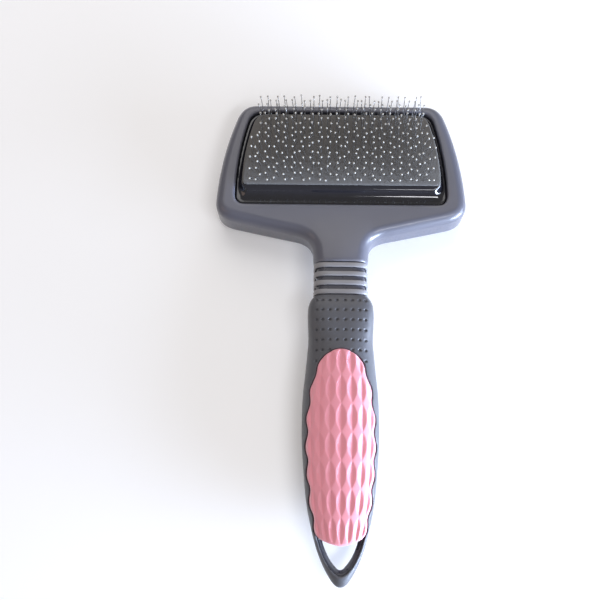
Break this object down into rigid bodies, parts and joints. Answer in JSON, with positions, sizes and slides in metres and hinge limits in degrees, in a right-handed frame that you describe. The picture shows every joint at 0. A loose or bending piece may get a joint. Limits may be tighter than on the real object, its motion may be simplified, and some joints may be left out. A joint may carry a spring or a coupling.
{
  "type": "pet slicker brush",
  "caption": "Slicker brush for grooming pets: T-shaped head with a crowned pad of fine wire pins, ringed neck, soft grip with inlaid thumb pad, and a hang hole in the tail.",
  "frame": {"origin": "on the surface the brush lies on, under the middle of its bounding box, with the pins pointing up", "axes": "+Y from the tail towards the head, +Z the way the pins point, X across the brush"},
  "size_m": [0.1188, 0.224, 0.038],
  "materials": {
    "head_plastic": "satin grey moulded ABS with softly rounded edges",
    "core_plastic": "dark charcoal moulded ABS, satin",
    "grip_rubber": "matt grey soft-touch rubber with a grid of small dimples",
    "inlay_rubber": "matt pink soft-touch rubber with lens-shaped hollows",
    "ring_plastic": "pale silver-grey satin plastic",
    "tray_plastic": "high-gloss black plastic",
    "cushion_foam": "dark foam rubber",
    "foundation_cloth": "matt dark grey rubber-faced cloth",
    "pin_wire": "fine bright steel wire with small pale rounded tips"
  },
  "bodies": {
    "root": {"head_frame": "head_plastic", "handle_core": "core_plastic", "grip_sleeve": "grip_rubber", "grip_inlay": "inlay_rubber", "neck_ring_1": "ring_plastic", "neck_ring_2": "ring_plastic", "neck_ring_3": "ring_plastic", "neck_ring_4": "ring_plastic", "pad_tray": "tray_plastic", "pad_cushion": "cushion_foam", "pin_foundation": "foundation_cloth", "pin_row_01": "pin_wire", "pin_row_02": "pin_wire", "pin_row_03": "pin_wire", "pin_row_04": "pin_wire", "pin_row_05": "pin_wire", "pin_row_06": "pin_wire", "pin_row_07": "pin_wire", "pin_row_08": "pin_wire", "pin_row_09": "pin_wire", "pin_row_10": "pin_wire", "pin_row_11": "pin_wire", "pin_row_12": "pin_wire", "pin_row_13": "pin_wire", "pin_row_14": "pin_wire", "pin_row_15": "pin_wire", "pin_row_16": "pin_wire", "pin_row_17": "pin_wire", "pin_row_18": "pin_wire"}
  },
  "joints": []
}
